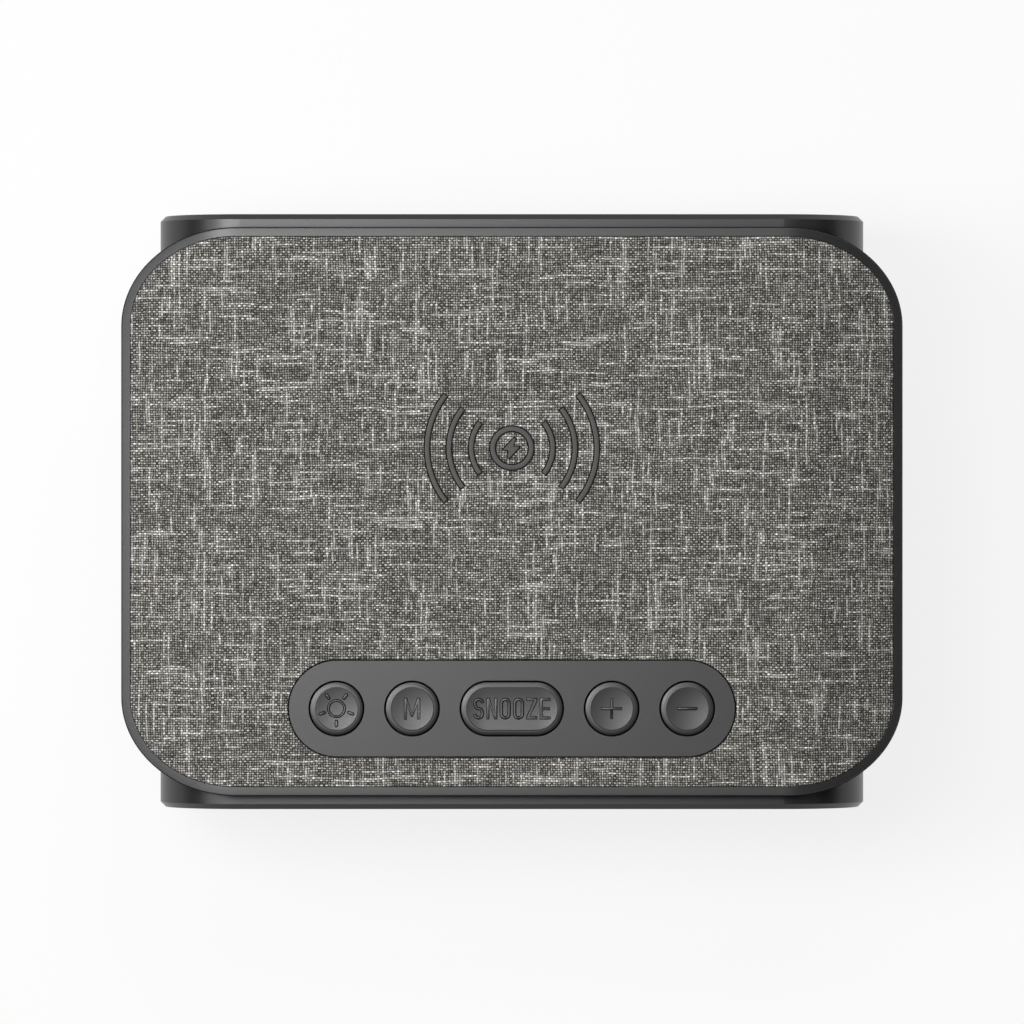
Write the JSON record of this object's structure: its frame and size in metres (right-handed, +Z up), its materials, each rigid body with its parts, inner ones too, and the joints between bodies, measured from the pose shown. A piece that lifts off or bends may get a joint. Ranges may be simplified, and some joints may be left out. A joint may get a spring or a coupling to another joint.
{
  "type": "talking clock",
  "caption": "Bedside alarm clock speaker: rounded black body, smoked front lens, rear grille and sockets, and a wider fabric charging tray on top with a strip of dished push buttons.",
  "frame": {"origin": "centre of the box's footprint, on the plane that the feet stand on", "axes": "+Z up, -Y towards the front lens, +X to the right as seen from the front"},
  "size_m": [0.1508, 0.1146, 0.0726],
  "materials": {
    "shell_black": "satin moulded ABS",
    "tray_black": "satin moulded ABS",
    "cover_black": "fine spark-eroded ABS",
    "board_black": "pressed fibre board",
    "frame_black": "matt moulded ABS",
    "block_black": "matt moulded",
    "fabric": "melange plain weave",
    "pad_grey": "satin moulded ABS",
    "key_grey": "satin moulded ABS",
    "lens_smoke": "polished smoked acrylic",
    "segment_white": "milky diffuser",
    "circuit_green": "solder mask",
    "chip_black": "moulded epoxy",
    "coil_copper": "enamelled copper wire",
    "ferrite_grey": "sintered",
    "screw_steel": "zinc plated",
    "screw_black": "black oxide",
    "basket_steel": "black coated pressed steel",
    "plate_steel": "zinc plated",
    "magnet_grey": "sintered ferrite",
    "cone_paper": "coated paper",
    "spider_cloth": "resin-dipped cloth",
    "foam_black": "closed-cell foam",
    "rubber_black": "moulded rubber",
    "socket_steel": "nickel plated",
    "jack_black": "moulded",
    "cell_steel": "nickel plated",
    "contact_brass": "spring strip",
    "switch_black": "moulded",
    "plunger_white": "moulded acetal"
  },
  "bodies": {
    "case": {"audio_jack": "jack_black", "backup_cell": "cell_steel", "board_screws": "screw_steel", "body_shell": "shell_black", "button_pad": "pad_grey", "cell_contact": "contact_brass", "cell_cover": "cover_black", "cell_cover_screw": "screw_black", "cell_holder": "frame_black", "charger_board": "circuit_green", "charger_board_parts": "chip_black", "charging_coil": "coil_copper", "digit_segments": "segment_white", "display_block": "block_black", "display_board": "circuit_green", "display_frame": "frame_black", "fabric_board": "board_black", "fabric_cover": "fabric", "feet": "rubber_black", "ferrite_sheet": "ferrite_grey", "front_lens": "lens_smoke", "key_board": "circuit_green", "light_switch": "switch_black", "main_board": "circuit_green", "main_board_parts": "chip_black", "minus_switch": "switch_black", "mode_switch": "switch_black", "plus_switch": "switch_black", "rear_cover": "cover_black", "rear_cover_screws": "screw_black", "snooze_switch": "switch_black", "speaker_basket": "basket_steel", "speaker_gasket": "foam_black", "speaker_magnet": "magnet_grey", "speaker_screws": "screw_steel", "speaker_spider": "spider_cloth", "speaker_surround": "rubber_black", "speaker_top_plate": "plate_steel", "speaker_yoke": "plate_steel", "tray_frame": "tray_black", "tray_screws": "screw_steel", "usb_a_socket": "socket_steel", "usb_c_socket": "socket_steel"},
    "light_key": {"light_button": "key_grey", "light_plunger": "plunger_white"},
    "mode_key": {"mode_button": "key_grey", "mode_plunger": "plunger_white"},
    "snooze_key": {"snooze_button": "key_grey", "snooze_plunger": "plunger_white"},
    "plus_key": {"plus_button": "key_grey", "plus_plunger": "plunger_white"},
    "minus_key": {"minus_button": "key_grey", "minus_plunger": "plunger_white"},
    "cone": {"speaker_cone": "cone_paper", "dust_cap": "cone_paper", "voice_coil": "coil_copper"}
  },
  "joints": [
    {"name": "light_press", "type": "slide", "parent": "case", "child": "light_key", "axis": [0, 0, -1], "range_m": [0, 0.0006], "stiffness_N_per_m": 1200, "springref_m": -0.0008},
    {"name": "mode_press", "type": "slide", "parent": "case", "child": "mode_key", "axis": [0, 0, -1], "range_m": [0, 0.0006], "stiffness_N_per_m": 1200, "springref_m": -0.0008},
    {"name": "snooze_press", "type": "slide", "parent": "case", "child": "snooze_key", "axis": [0, 0, -1], "range_m": [0, 0.0006], "stiffness_N_per_m": 1200, "springref_m": -0.0008},
    {"name": "plus_press", "type": "slide", "parent": "case", "child": "plus_key", "axis": [0, 0, -1], "range_m": [0, 0.0006], "stiffness_N_per_m": 1200, "springref_m": -0.0008},
    {"name": "minus_press", "type": "slide", "parent": "case", "child": "minus_key", "axis": [0, 0, -1], "range_m": [0, 0.0006], "stiffness_N_per_m": 1200, "springref_m": -0.0008},
    {"name": "cone_stroke", "type": "slide", "parent": "case", "child": "cone", "axis": [0, 1, 0], "range_m": [-0.0015, 0.0015], "stiffness_N_per_m": 900, "deforming": ["speaker_surround", "speaker_spider"]}
  ]
}
